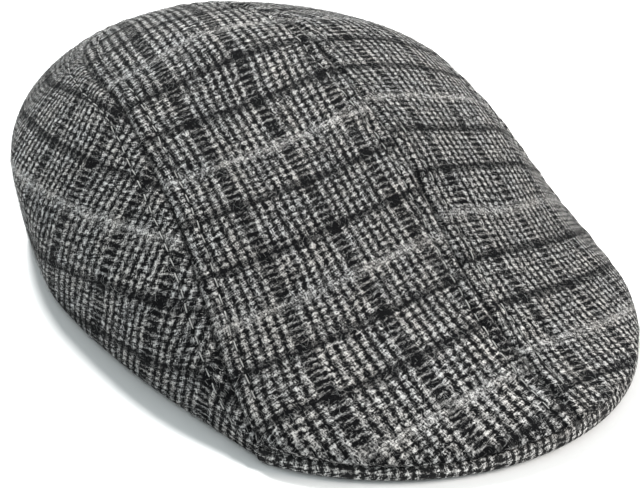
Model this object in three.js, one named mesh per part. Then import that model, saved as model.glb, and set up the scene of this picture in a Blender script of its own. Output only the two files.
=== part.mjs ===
// Checkered flat cap, a duckbill shape, lying as it would on a table.
// Sizes are in millimetres. The front of the cap faces -Y, the wearer's left is +X, +Z is up.
// The cap's own plan is drawn from the crown's highest point: "forward" runs from there to the peak.
import * as THREE from 'three';

// Plan of the cap
const BACK_REACH = 116;
const CROWN_HALF_WIDTH = 96;
const FRONT_HALF_WIDTH = 94;
const CORNER_FORWARD = 102;
const CORNER_HALF_WIDTH = 83;
const PEAK_DEPTH = 45;
const BACK_ROUNDNESS = 1.92;
const PEAK_ROUNDNESS = 1.28;
const NOSE_SHARPNESS = 12;
const TIP_FORWARD = CORNER_FORWARD + PEAK_DEPTH;
const MIDDLE_FORWARD = (TIP_FORWARD - BACK_REACH) / 2;

// Cloth and seams
const CLOTH = 2;
const HEM = 4;
const HEM_LEDGE = 6;
const SEAM_GAP = 0.36;
const SEAM_DIP = 0.8;
const CROWN_ROUNDNESS = 2.03;

// Peak
const ROLL_DEPTH = 3.2;
const ROLL_END = 60;
const BOARD_THICKNESS = 3.4;
const LIP_HEIGHT = 4.5;
const LIP_INWARD = 3.8;
const BOARD_START = 7.5;
const PEAK_END_WIDTH = 8;
const OPENING_BOW = 4;

// Mesh fineness
const BACK_STEPS = 14;
const FRONT_STEPS = 10;
const PEAK_STEPS = 14;
const TOP_ROWS = 13;
const SHOULDER_ROWS = 5;
const WALL_ROWS = 7;

// Height of the crown above the table, along its middle line
const CROWN_LINE = [
  { forward: 0, height: 89 },
  { forward: 21, height: 82.2 },
  { forward: 60, height: 63.5 },
  { forward: 98, height: 32 },
  { forward: 128, height: 14.6 },
  { forward: 147, height: 9.9 },
];

// Stations go round half the cap: -1 centre back, 0 widest, 1 corner of the peak, 2 tip of the peak.
// edge is the height of the widest line, seam the side seam's share of the way out to it,
// tuck how far the rim goes in below it, rim the rim's height, and fullness the dome's power.
const STATIONS = [
  { station: -1, edge: 36.3, seam: 0.76, tuck: 13.6, rim: 0, fullness: 0.53 },
  { station: -0.75, edge: 34.6, seam: 0.75, tuck: 11.5, rim: 0, fullness: 0.53 },
  { station: -0.4, edge: 35, seam: 0.73, tuck: 7.3, rim: 1.2, fullness: 0.53 },
  { station: 0, edge: 34.5, seam: 0.73, tuck: 3, rim: 1.7, fullness: 0.53 },
  { station: 0.5, edge: 23.2, seam: 0.82, tuck: 4, rim: 0.8, fullness: 0.52 },
  { station: 1, edge: 6.5, seam: 1, tuck: 3, rim: 0.2, fullness: 0.44 },
  { station: 2, edge: 8, seam: 1, tuck: 3, rim: 0, fullness: 0.55 },
];

const CLOTH_COLOUR = 0x6b6b6c;
const SIDE_COLOUR = 0x5f6162;
const PEAK_COLOUR = 0x3c3c3e;

// Smooth curve through a table's rows, level at its first row and, if asked, at its last
function readTable(table, key, column, at, levelEnd = true) {
  const last = table.length - 1;
  const slope = (i) => {
    if (i === 0) {
      return 0;
    }
    if (i === last) {
      const rise = table[last][column] - table[last - 1][column];
      return levelEnd ? 0 : rise / (table[last][key] - table[last - 1][key]);
    }
    return (table[i + 1][column] - table[i - 1][column]) / (table[i + 1][key] - table[i - 1][key]);
  };
  let row = 0;
  while (row < last - 1 && at > table[row + 1][key]) {
    row += 1;
  }
  const span = table[row + 1][key] - table[row][key];
  const u = THREE.MathUtils.clamp((at - table[row][key]) / span, 0, 1);
  const start = (1 + 2 * u) * (1 - u) ** 2 * table[row][column];
  const startSlope = u * (1 - u) ** 2 * span * slope(row);
  const end = u * u * (3 - 2 * u) * table[row + 1][column];
  const endSlope = u * u * (u - 1) * span * slope(row + 1);
  return start + startSlope + end + endSlope;
}

const atStation = (column, station) => readTable(STATIONS, 'station', column, station);

// Height of the middle line, which turns down over the peak's front edge
function crownHeight(forward) {
  const height = readTable(CROWN_LINE, 'forward', 'height', Math.max(forward, 0), false);
  const share = THREE.MathUtils.clamp((forward - CORNER_FORWARD) / PEAK_DEPTH, 0, 1);
  const tip = STATIONS[STATIONS.length - 1].edge;
  return tip + (height - tip) * Math.sqrt(1 - share ** NOSE_SHARPNESS);
}

// Half-width of the peak's outline where it is `forward` of the crown's highest point
function peakHalfWidth(forward) {
  const share = THREE.MathUtils.clamp((forward - CORNER_FORWARD) / PEAK_DEPTH, 0, 1);
  return CORNER_HALF_WIDTH * Math.sqrt(1 - share ** PEAK_ROUNDNESS);
}

// Distance from the middle of the peak's back edge to its outline, `angle` off straight ahead
function peakReach(angle) {
  let inside = 0;
  let outside = CORNER_HALF_WIDTH + PEAK_DEPTH;
  for (let step = 0; step < 40; step += 1) {
    const reach = (inside + outside) / 2;
    const forward = reach * Math.cos(angle);
    const beyond = forward > PEAK_DEPTH
      || reach * Math.sin(angle) > peakHalfWidth(CORNER_FORWARD + forward);
    if (beyond) {
      outside = reach;
    } else {
      inside = reach;
    }
  }
  return inside;
}

// Where a station's line starts on the cap's middle line, its direction and its length to the outline
function stationLine(station) {
  if (station < 0) {
    const turn = (station + 1) * Math.PI / 2;
    const across = Math.sin(turn);
    const back = Math.cos(turn);
    const size = (across / CROWN_HALF_WIDTH) ** BACK_ROUNDNESS + (back / BACK_REACH) ** BACK_ROUNDNESS;
    return { forward: 0, across, ahead: -back, reach: size ** (-1 / BACK_ROUNDNESS) };
  }
  if (station <= 1) {
    const widths = [
      { share: 0, width: CROWN_HALF_WIDTH },
      { share: 0.5, width: FRONT_HALF_WIDTH },
      { share: 1, width: CORNER_HALF_WIDTH },
    ];
    const reach = readTable(widths, 'share', 'width', station, false);
    return { forward: station * CORNER_FORWARD, across: 1, ahead: 0, reach };
  }
  const angle = (2 - station) * Math.PI / 2;
  return {
    forward: CORNER_FORWARD,
    across: Math.sin(angle),
    ahead: Math.cos(angle),
    reach: peakReach(angle),
  };
}

// Height of the dome at a share of the way out along a station's line
function domeHeight(station, share, forward, out) {
  const edge = atStation('edge', station);
  const ridge = crownHeight(forward);
  let across = share;
  if (station > 1) {
    const halfWidth = peakHalfWidth(forward);
    across = halfWidth > 0.01 ? Math.min(out / halfWidth, 1) : 1;
  }
  const fall = Math.max(1 - across ** CROWN_ROUNDNESS, 0) ** atStation('fullness', station);
  return edge + (ridge - edge) * fall;
}

// Point of the outer surface. `drop` runs from 0 at the middle line to 1 at the widest line
// and on to 2 at the rim.
function surfacePoint(station, drop) {
  const line = stationLine(station);
  if (drop <= 1) {
    const share = Math.sin(drop * Math.PI / 2);
    const out = line.across * line.reach * share;
    const forward = line.forward + line.ahead * line.reach * share;
    return new THREE.Vector3(out, forward, domeHeight(station, share, forward, out));
  }
  const turn = (drop - 1) * Math.PI / 2;
  const edge = atStation('edge', station);
  const reach = line.reach - atStation('tuck', station) * (1 - Math.cos(turn));
  const height = edge - (edge - Math.max(atStation('rim', station), 0)) * Math.sin(turn);
  return new THREE.Vector3(line.across * reach, line.forward + line.ahead * reach, height);
}

// Outward direction of the surface, measured with small steps each way
function surfaceNormal(station, drop) {
  if (drop < 0.001) {
    const forward = stationLine(station).forward;
    const slope = (crownHeight(forward + 0.5) - crownHeight(forward - 0.5));
    return new THREE.Vector3(0, -slope, 1).normalize();
  }
  const low = Math.max(station - 0.01, -1);
  const high = Math.min(station + 0.01, 2);
  const middle = drop <= 1 ? Math.min(drop, 0.985) : Math.max(drop, 1.01);
  const along = surfacePoint(high, middle).sub(surfacePoint(low, middle));
  const down = surfacePoint(station, Math.min(middle + 0.005, 2));
  down.sub(surfacePoint(station, middle - 0.005));
  const normal = down.cross(along).normalize();
  if (station === -1 || station === 2) {
    normal.setX(0).normalize();
  }
  return normal;
}

// Outer and inner points of the cloth at one place, across a direction taken at `normalDrop`
function clothPair(station, drop, thickness, dip, normalDrop = drop) {
  const normal = surfaceNormal(station, normalDrop);
  const outer = surfacePoint(station, drop).addScaledVector(normal, -dip);
  const inner = outer.clone().addScaledVector(normal, -thickness);
  return { outer, inner };
}

// From the cap's plan to the cap's frame, on the right (-1) or the left (1)
function place(point, side) {
  const across = Math.max(point.x, 0) + SEAM_GAP / 2;
  return new THREE.Vector3(side * across, MIDDLE_FORWARD - point.y, point.z);
}

// Closed solid between two grids of points that match row by row
function solidBetween(outer, inner, side) {
  const positions = [];
  const known = new Map();
  const indices = [];
  const vertex = (point) => {
    const placed = place(point, side);
    const key = placed.toArray().map((value) => Math.round(value * 1000)).join(',');
    if (!known.has(key)) {
      known.set(key, positions.length / 3);
      positions.push(placed.x, placed.y, placed.z);
    }
    return known.get(key);
  };
  const triangle = (a, b, c) => {
    if (a === b || b === c || c === a) {
      return;
    }
    if (side < 0) {
      indices.push(a, b, c);
    } else {
      indices.push(a, c, b);
    }
  };
  const quad = (a, b, c, d) => {
    const corners = [vertex(a), vertex(b), vertex(c), vertex(d)];
    triangle(corners[0], corners[1], corners[2]);
    triangle(corners[0], corners[2], corners[3]);
  };
  const lastRow = outer.length - 1;
  const lastColumn = outer[0].length - 1;
  for (let i = 0; i < lastRow; i += 1) {
    for (let j = 0; j < lastColumn; j += 1) {
      quad(outer[i][j], outer[i][j + 1], outer[i + 1][j + 1], outer[i + 1][j]);
      quad(inner[i][j], inner[i + 1][j], inner[i + 1][j + 1], inner[i][j + 1]);
    }
    quad(outer[i][0], outer[i + 1][0], inner[i + 1][0], inner[i][0]);
    quad(outer[i][lastColumn], inner[i][lastColumn], inner[i + 1][lastColumn], outer[i + 1][lastColumn]);
  }
  for (let j = 0; j < lastColumn; j += 1) {
    quad(outer[0][j], inner[0][j], inner[0][j + 1], outer[0][j + 1]);
    quad(outer[lastRow][j], outer[lastRow][j + 1], inner[lastRow][j + 1], inner[lastRow][j]);
  }
  const geometry = new THREE.BufferGeometry();
  geometry.setAttribute('position', new THREE.Float32BufferAttribute(positions, 3));
  geometry.setIndex(indices);
  geometry.computeVertexNormals();
  return geometry;
}

// Evenly spaced values from start to end, both included
function steps(start, end, count) {
  return Array.from({ length: count + 1 }, (_, i) => start + (end - start) * i / count);
}

function stationsTo(end) {
  const stations = [...steps(-1, 0, BACK_STEPS), ...steps(0, 1, FRONT_STEPS).slice(1)];
  return end > 1 ? [...stations, ...steps(1, 2, PEAK_STEPS).slice(1)] : stations;
}

// Where the side seam lies, as a drop, moved down the surface by a distance
function seamDrop(station, shift) {
  const seam = Math.asin(Math.min(atStation('seam', station), 1)) / (Math.PI / 2);
  const step = 0.01;
  const pace = surfacePoint(station, seam).distanceTo(surfacePoint(station, seam + step)) / step;
  return seam + shift / pace;
}

// Top panel: from the middle seam out to the side seam, and over the peak to its edge
function topPanel(side) {
  const outer = [];
  const inner = [];
  for (const station of stationsTo(2)) {
    const end = station < 1 ? seamDrop(station, 0) : 1;
    const pairs = steps(0, end, TOP_ROWS).map((drop, row) => {
      const onMiddleSeam = station === -1 || row === 0;
      const onSideSeam = station < 1 && row === TOP_ROWS;
      return clothPair(station, drop, CLOTH, onMiddleSeam || onSideSeam ? SEAM_DIP : 0);
    });
    outer.push(pairs.map((pair) => pair.outer));
    inner.push(pairs.map((pair) => pair.inner));
  }
  return solidBetween(outer, inner, side);
}

// Side panel: from the side seam over the widest line, down to the rim and its turned-in hem
function sidePanel(side) {
  const outer = [];
  const inner = [];
  for (const station of stationsTo(1)) {
    const start = seamDrop(station, SEAM_GAP);
    const shoulder = Math.max(start, 1);
    const drops = [...steps(start, shoulder, SHOULDER_ROWS), ...steps(shoulder, 2, WALL_ROWS).slice(1)];
    const pairs = drops.map((drop, row) => {
      const hemShare = THREE.MathUtils.smoothstep(drop, 1.45, 1.75);
      const room = Math.min(atStation('edge', station) / 2, HEM);
      const thickness = THREE.MathUtils.lerp(CLOTH, Math.max(room, CLOTH), hemShare);
      const dip = row === 0 || (station === -1 && drop < 1.9) ? SEAM_DIP : 0;
      return clothPair(station, drop, thickness, dip, row === 0 ? seamDrop(station, 0) : drop);
    });
    const line = stationLine(station);
    const rim = pairs[pairs.length - 1];
    const ledge = new THREE.Vector3(-line.across, -line.ahead, 0).multiplyScalar(HEM_LEDGE);
    outer.push([...pairs.map((pair) => pair.outer), rim.outer.clone().add(ledge)]);
    inner.push([...pairs.map((pair) => pair.inner), rim.inner.clone().add(ledge)]);
  }
  return solidBetween(outer, inner, side);
}

// Peak: a board with a rolled cloth edge that shows below the top panels, flat underneath
function peakGeometry() {
  const stations = [...steps(1, 2, PEAK_STEPS)];
  const columns = [
    ...steps(-90, ROLL_END, 6).map((angle) => ({ angle })),
    { inward: LIP_INWARD, height: LIP_HEIGHT },
    { inward: BOARD_START, height: BOARD_THICKNESS },
    { share: 1, height: BOARD_THICKNESS },
    { share: 1, height: 0 },
  ];
  const ring = (station, mirror) => {
    const line = stationLine(station);
    const outline = new THREE.Vector2(line.across, line.ahead).multiplyScalar(line.reach);
    outline.y += CORNER_FORWARD + SEAM_GAP;
    const backShare = outline.x / CORNER_HALF_WIDTH;
    const back = new THREE.Vector2(
      backShare * (CORNER_HALF_WIDTH - PEAK_END_WIDTH),
      CORNER_FORWARD + SEAM_GAP + OPENING_BOW * (1 - backShare ** 2),
    );
    const width = outline.distanceTo(back);
    const rollHeight = atStation('edge', station) - 2 * SEAM_GAP;
    return columns.map((column) => {
      let { inward, height } = column;
      if (column.angle !== undefined) {
        const angle = THREE.MathUtils.degToRad(column.angle);
        const top = angle > 0 ? Math.sin(THREE.MathUtils.degToRad(ROLL_END)) : 1;
        inward = ROLL_DEPTH * (1 - Math.cos(angle));
        height = rollHeight * (1 + Math.sin(angle) / top) / 2;
      }
      const share = column.share ?? Math.min(inward / width, 0.9);
      const spot = outline.clone().lerp(back, share);
      return new THREE.Vector3(mirror * spot.x, MIDDLE_FORWARD - spot.y, height);
    });
  };
  const rings = [
    ...stations.map((station) => ring(station, -1)),
    ...stations.slice(0, -1).reverse().map((station) => ring(station, 1)),
  ];
  const positions = rings.flat().flatMap((point) => point.toArray());
  const size = columns.length;
  const indices = [];
  for (let i = 0; i < rings.length - 1; i += 1) {
    for (let j = 0; j < size; j += 1) {
      const k = (j + 1) % size;
      const a = i * size + j;
      const b = i * size + k;
      indices.push(a, a + size, b + size);
      indices.push(a, b + size, b);
    }
  }
  const lastRing = (rings.length - 1) * size;
  for (let j = 1; j < size - 1; j += 1) {
    indices.push(0, j, j + 1);
    indices.push(lastRing, lastRing + j + 1, lastRing + j);
  }
  const geometry = new THREE.BufferGeometry();
  geometry.setAttribute('position', new THREE.Float32BufferAttribute(positions, 3));
  geometry.setIndex(indices);
  geometry.computeVertexNormals();
  return geometry;
}

function cloth(color, roughness) {
  return new THREE.MeshStandardMaterial({ color, roughness, metalness: 0 });
}

function piece(name, geometry, material) {
  const mesh = new THREE.Mesh(geometry, material);
  mesh.name = name;
  return mesh;
}

const group = new THREE.Group();
group.add(piece('top_panel_right', topPanel(-1), cloth(CLOTH_COLOUR, 0.95)));
group.add(piece('top_panel_left', topPanel(1), cloth(CLOTH_COLOUR, 0.95)));
group.add(piece('side_panel_right', sidePanel(-1), cloth(SIDE_COLOUR, 0.95)));
group.add(piece('side_panel_left', sidePanel(1), cloth(SIDE_COLOUR, 0.95)));
group.add(piece('peak', peakGeometry(), cloth(PEAK_COLOUR, 0.95)));

export default group;
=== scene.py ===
"""A checkered flat cap of woolly cloth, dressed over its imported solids, on a pale studio floor.

Sizes are in millimetres until a mesh is made, which turns them into metres. The front of the cap faces -Y, the
wearer's left is +X and +Z is up. The cap's plan is drawn from the crown's highest point: "forward" runs from there
to the peak. Stations go round half the cap: -1 centre back, 0 widest, 1 corner of the peak, 2 tip of the peak.
"""

import logging
import math
from dataclasses import dataclass
from enum import Enum
from typing import Any, Optional, Union

import bpy
import numpy as np
from mathutils import Matrix, Vector


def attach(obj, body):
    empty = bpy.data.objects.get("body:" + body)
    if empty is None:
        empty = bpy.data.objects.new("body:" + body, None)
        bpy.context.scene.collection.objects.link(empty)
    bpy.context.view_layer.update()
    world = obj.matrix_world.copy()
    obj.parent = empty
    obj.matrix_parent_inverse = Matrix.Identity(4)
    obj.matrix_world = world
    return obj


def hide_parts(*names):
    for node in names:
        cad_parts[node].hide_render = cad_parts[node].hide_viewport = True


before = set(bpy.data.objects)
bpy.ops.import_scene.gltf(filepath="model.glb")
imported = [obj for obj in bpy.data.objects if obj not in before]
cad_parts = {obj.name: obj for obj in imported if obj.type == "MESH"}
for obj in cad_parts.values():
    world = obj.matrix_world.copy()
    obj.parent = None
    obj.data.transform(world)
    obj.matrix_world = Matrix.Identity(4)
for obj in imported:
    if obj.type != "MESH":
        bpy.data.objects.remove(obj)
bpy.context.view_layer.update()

MM = 0.001
BODY = "root"
PANEL_GAP = 0.08
LOWEST = 0.02
STITCH_FROM_SEAM = 6.0
STITCH_PITCH = 4.8
LOG = logging.getLogger("cap")

Number = Union[int, float]
Colour = tuple[float, float, float]


class Side(Enum):
    """The two halves of the cap, seen by the wearer."""

    RIGHT = -1
    LEFT = 1

    @property
    def word(self) -> str:
        """The side's name in piece names."""
        return self.name.lower()


class Slot(Enum):
    """The record's material slots."""

    CHECK = "check_cloth"
    PEAK = "peak_cloth"


@dataclass(frozen=True)
class Weave:
    """The cloth's own measures, which its material and its layout share.

    Args:
        column: width of a column of light beads, in millimetres.
        row: height of a row of beads, in millimetres.
        columns_per_band: columns from one broad dark band to the next.
        rows_per_repeat: rows from one light line to the next.
        lines_per_repeat: lines in a repeat, a light one and two dark ones.
    """

    column: float = 3.1
    row: float = 2.27
    columns_per_band: float = 8
    rows_per_repeat: float = 22
    lines_per_repeat: float = 3

    @property
    def rows_per_line(self) -> float:
        """Rows from one line to the next."""
        return self.rows_per_repeat / self.lines_per_repeat


WEAVE = Weave()


@dataclass(frozen=True)
class Curve:
    """Smooth curve through named rows, level at its first row and, if asked, at its last.

    Args:
        at: where the rows are.
        values: what they are there.
        level_end: whether the curve ends level.
    """

    at: tuple[float, ...]
    values: tuple[float, ...]
    level_end: bool = True

    def __call__(self, where: np.ndarray) -> np.ndarray:
        """Reads the curve, which is held at its ends.

        Args:
            where: the places to read it at.

        Returns:
            Its value at each place.
        """
        x = np.asarray(self.at, float)
        y = np.asarray(self.values, float)
        slopes = np.zeros_like(y)
        slopes[1:-1] = (y[2:] - y[:-2]) / (x[2:] - x[:-2])
        if not self.level_end:
            slopes[-1] = (y[-1] - y[-2]) / (x[-1] - x[-2])
        row = np.clip(np.searchsorted(x, where, side="left") - 1, 0, len(x) - 2)
        span = x[row + 1] - x[row]
        u = np.clip((where - x[row]) / span, 0, 1)
        start = (1 + 2 * u) * (1 - u) ** 2 * y[row] + u * (1 - u) ** 2 * span * slopes[row]
        end = u * u * (3 - 2 * u) * y[row + 1] + u * u * (u - 1) * span * slopes[row + 1]
        return start + end


def smooth_step(value: np.ndarray, low: float, high: float) -> np.ndarray:
    """Smooth rise from 0 at low to 1 at high."""
    u = np.clip((value - low) / (high - low), 0, 1)
    return u * u * (3 - 2 * u)


def bell(value: np.ndarray, middle: float, width: float) -> np.ndarray:
    """Rounded hump of height 1 at the middle."""
    return np.exp(-(((value - middle) / width) ** 2))


def along(points: np.ndarray, axis: int) -> np.ndarray:
    """Distance from the first point along one axis of a grid of points.

    Args:
        points: grid of points, coordinates last.
        axis: 0 or 1, the way to run.

    Returns:
        The running length at each point.
    """
    lengths = np.linalg.norm(np.diff(points, axis=axis), axis=-1)
    start = np.zeros_like(lengths.take([0], axis=axis))
    return np.concatenate([start, np.cumsum(lengths, axis=axis)], axis=axis)


def unit(vectors: np.ndarray) -> np.ndarray:
    """Vectors of length 1, coordinates last."""
    return vectors / np.linalg.norm(vectors, axis=-1, keepdims=True)


STATION_ROWS = (-1, -0.75, -0.4, 0, 0.5, 1, 2)


@dataclass(frozen=True)
class CapForm:
    """The cap's outer surface, from the same named sizes as its solids."""

    back_reach: float = 116
    crown_half_width: float = 96
    front_half_width: float = 94
    corner_forward: float = 102
    corner_half_width: float = 83
    peak_depth: float = 45
    back_roundness: float = 1.92
    peak_roundness: float = 1.28
    nose_sharpness: float = 12
    crown_roundness: float = 2.03
    seam_gap: float = 0.36
    crown_line: Curve = Curve((0, 21, 60, 98, 128, 147), (89, 82.2, 63.5, 32, 14.6, 9.9), False)
    edge: Curve = Curve(STATION_ROWS, (36.3, 34.6, 35, 34.5, 23.2, 6.5, 8))
    seam: Curve = Curve(STATION_ROWS, (0.76, 0.75, 0.73, 0.73, 0.82, 1, 1))
    tuck: Curve = Curve(STATION_ROWS, (13.6, 11.5, 7.3, 3, 4, 3, 3))
    rim: Curve = Curve(STATION_ROWS, (0, 0, 1.2, 1.7, 0.8, 0.2, 0))
    fullness: Curve = Curve(STATION_ROWS, (0.53, 0.53, 0.53, 0.53, 0.52, 0.44, 0.55))

    @property
    def tip_forward(self) -> float:
        """How far forward the tip of the peak is."""
        return self.corner_forward + self.peak_depth

    @property
    def middle_forward(self) -> float:
        """How far forward the middle of the whole cap is, where the frame's origin lies."""
        return (self.tip_forward - self.back_reach) / 2

    def crown_height(self, forward: np.ndarray) -> np.ndarray:
        """Height of the middle line, which turns down over the peak's front edge.

        Args:
            forward: places along it.

        Returns:
            The height at each place.
        """
        height = self.crown_line(np.maximum(forward, 0))
        share = np.clip((forward - self.corner_forward) / self.peak_depth, 0, 1)
        tip = self.edge.values[-1]
        return tip + (height - tip) * np.sqrt(1 - share**self.nose_sharpness)

    def peak_half_width(self, forward: np.ndarray) -> np.ndarray:
        """Half-width of the peak's outline at a place forward."""
        share = np.clip((forward - self.corner_forward) / self.peak_depth, 0, 1)
        return self.corner_half_width * np.sqrt(1 - share**self.peak_roundness)

    def peak_reach(self, angle: np.ndarray) -> np.ndarray:
        """Distance from the middle of the peak's back edge to its outline.

        Args:
            angle: angles off straight ahead, in radians.

        Returns:
            The distance at each angle.
        """
        ahead = np.linspace(0, 1, 4001) ** 0.5 * self.peak_depth
        across = self.peak_half_width(self.corner_forward + ahead)
        turned = np.arctan2(across, ahead)
        return np.interp(angle, turned[::-1], np.hypot(across, ahead)[::-1])

    def line(self, station: np.ndarray) -> tuple[np.ndarray, np.ndarray, np.ndarray, np.ndarray]:
        """Where a station's line starts on the middle line, and how it runs to the outline.

        Args:
            station: the stations.

        Returns:
            The start's forward place, the line's share across and ahead, and its length.
        """
        station = np.asarray(station, float)
        turn = (station + 1) * math.pi / 2
        across = np.sin(turn)
        back = np.abs(np.cos(turn))
        size = (np.clip(across, 0, 1) / self.crown_half_width) ** self.back_roundness
        size = size + (back / self.back_reach) ** self.back_roundness
        back_reach = size ** (-1 / self.back_roundness)
        widths = Curve((0, 0.5, 1), (self.crown_half_width, self.front_half_width, self.corner_half_width), False)
        angle = (2 - np.clip(station, 1, 2)) * math.pi / 2
        behind, middle = station < 0, station <= 1
        forward = np.where(behind, 0, np.where(middle, station * self.corner_forward, self.corner_forward))
        over = np.where(behind, across, np.where(middle, 1, np.sin(angle)))
        ahead = np.where(behind, -back, np.where(middle, 0, np.cos(angle)))
        reach = np.where(behind, back_reach, np.where(middle, widths(station), self.peak_reach(angle)))
        return forward, over, ahead, reach

    def dome(self, station: np.ndarray, share: np.ndarray, forward: np.ndarray, out: np.ndarray) -> np.ndarray:
        """Height of the dome at a share of the way out along a station's line.

        Args:
            station: the stations.
            share: how far out along their lines, from 0 to 1.
            forward: how far forward the places are.
            out: how far they are from the middle line.

        Returns:
            The heights.
        """
        edge = self.edge(station)
        half_width = np.maximum(self.peak_half_width(forward), 0.01)
        across = np.where(station > 1, np.minimum(out / half_width, 1), share)
        fall = np.maximum(1 - across**self.crown_roundness, 0) ** self.fullness(station)
        return edge + (self.crown_height(forward) - edge) * fall

    def surface(self, station: np.ndarray, drop: np.ndarray) -> np.ndarray:
        """Points of the outer surface in the cap's plan: out, forward, height.

        Args:
            station: the stations.
            drop: 0 at the middle line, 1 at the widest line, 2 at the rim.

        Returns:
            One point for each pair.
        """
        forward, over, ahead, reach = self.line(station)
        share = np.sin(np.clip(drop, 0, 1) * math.pi / 2)
        turn = np.clip(drop - 1, 0, 1) * math.pi / 2
        length = reach * share - self.tuck(station) * (1 - np.cos(turn))
        out = over * length
        place = forward + ahead * length
        edge = self.edge(station)
        wall = edge - (edge - np.maximum(self.rim(station), 0)) * np.sin(turn)
        return np.stack([out, place, np.where(drop <= 1, self.dome(station, share, place, out), wall)], -1)

    def height(self, out: np.ndarray, forward: np.ndarray) -> np.ndarray:
        """Height of the dome over places in the plan.

        Args:
            out: how far they are from the middle line.
            forward: how far forward they are.

        Returns:
            The height at each place.
        """
        turned = np.arctan2(out, np.maximum(-forward, 1e-9)) / (math.pi / 2) - 1
        ahead = 2 - np.arctan2(out, np.maximum(forward - self.corner_forward, 1e-9)) / (math.pi / 2)
        beside = np.where(forward <= self.corner_forward, forward / self.corner_forward, ahead)
        station = np.where(forward < 0, turned, beside)
        start, _, _, reach = self.line(station)
        level = np.where(station <= 1, out, np.hypot(out, forward - start))
        away = np.where(station >= 0, level, np.hypot(out, forward))
        return self.dome(station, np.clip(away / reach, 0, 1), forward, out)

    def girth(self, out: np.ndarray, forward: np.ndarray) -> np.ndarray:
        """Distance over the cloth from the middle line straight out to places in the plan.

        Args:
            out: how far they are from the middle line.
            forward: how far forward they are.

        Returns:
            The distance at each place.
        """
        shares = np.linspace(0, 1, 40)
        across = out[..., None] * shares
        heights = self.height(across, forward[..., None])
        return np.hypot(np.diff(across), np.diff(heights)).sum(-1)

    def middle_arc(self, forward: np.ndarray) -> np.ndarray:
        """Distance over the cloth along the middle line from the crown's highest point.

        Args:
            forward: places along it.

        Returns:
            The distance at each place, positive in front of the highest point.
        """
        places = np.linspace(-self.back_reach, self.tip_forward, 2000)
        heights = self.height(np.zeros_like(places), places)
        run = np.concatenate([[0], np.cumsum(np.hypot(np.diff(places), np.diff(heights)))])
        run -= np.interp(0, places, run)
        return np.interp(forward, places, run)

    def seam_drop(self, station: np.ndarray, shift: float = 0.0) -> np.ndarray:
        """Where the side seam lies, as a drop.

        Args:
            station: the stations.
            shift: how far down the surface the answer is moved.

        Returns:
            The drop at each station.
        """
        seam = np.arcsin(np.clip(self.seam(station), 0, 1)) / (math.pi / 2)
        step = 0.01
        apart = self.surface(station, seam + step) - self.surface(station, seam)
        return seam + shift * step / np.linalg.norm(apart, axis=-1)

    def place(self, points: np.ndarray, side: Side, gap: float) -> np.ndarray:
        """From the cap's plan to the cap's frame, on one side.

        Args:
            points: out, forward and height of each point.
            side: the half of the cap.
            gap: the gap at the middle seam.

        Returns:
            The points in the frame, in millimetres.
        """
        across = np.maximum(points[..., 0], 0) + gap / 2
        return np.stack([side.value * across, self.middle_forward - points[..., 1], points[..., 2]], -1)


class Wire:
    """A shader socket whose arithmetic adds Math nodes."""

    def __init__(self, bench: "Bench", socket: bpy.types.NodeSocket) -> None:
        """Keeps the socket and the bench it belongs to."""
        self.bench = bench
        self.socket = socket

    def math(self, operation: str, *others: Union["Wire", Number]) -> "Wire":
        """A Math node of one operation on this value and others."""
        return self.bench.node("ShaderNodeMath", {"operation": operation}, dict(enumerate((self, *others))))

    def __add__(self, other: Union["Wire", Number]) -> "Wire":
        """Sum."""
        return self.math("ADD", other)

    __radd__ = __add__

    def __sub__(self, other: Union["Wire", Number]) -> "Wire":
        """Difference."""
        return self.math("SUBTRACT", other)

    def __rsub__(self, other: Number) -> "Wire":
        """Difference from a number."""
        return self.bench.node("ShaderNodeMath", {"operation": "SUBTRACT"}, {0: other, 1: self})

    def __mul__(self, other: Union["Wire", Number]) -> "Wire":
        """Product."""
        return self.math("MULTIPLY", other)

    __rmul__ = __mul__

    def __abs__(self) -> "Wire":
        """Size without sign."""
        return self.math("ABSOLUTE")

    def wave(self) -> "Wire":
        """Cosine that runs once for each unit: 1 at whole numbers, -1 halfway."""
        return (self * (2 * math.pi)).math("COSINE")

    def bounce(self, reach: float) -> "Wire":
        """Distance to the nearest of the marks twice the reach apart."""
        return self.math("PINGPONG", reach)

    def larger(self, other: Union["Wire", Number]) -> "Wire":
        """The larger of two values."""
        return self.math("MAXIMUM", other)

    def smaller(self, other: Union["Wire", Number]) -> "Wire":
        """The smaller of two values."""
        return self.math("MINIMUM", other)

    def power(self, exponent: float) -> "Wire":
        """This value to a power."""
        return self.math("POWER", exponent)

    def rise(self, low: float, high: float) -> "Wire":
        """Smooth step from 0 at low to 1 at high."""
        inputs = {"Value": self, "From Min": low, "From Max": high}
        return self.bench.node("ShaderNodeMapRange", {"interpolation_type": "SMOOTHSTEP"}, inputs)

    def fall(self, low: float, high: float) -> "Wire":
        """Smooth step from 1 at low to 0 at high."""
        inputs = {"Value": self, "From Min": low, "From Max": high, "To Min": 1.0, "To Max": 0.0}
        return self.bench.node("ShaderNodeMapRange", {"interpolation_type": "SMOOTHSTEP"}, inputs)

    def toward(self, other: Union["Wire", Number], share: Union["Wire", Number]) -> "Wire":
        """This value moved a share of the way to another."""
        return self + (other - self) * share

    def hump(self, middle: float, width: float) -> "Wire":
        """Rounded hump of height 1 about a middle value, down to 0 a width away."""
        return abs(self - middle).fall(0.0, width)


Tint = Union[Wire, Colour]


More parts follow.
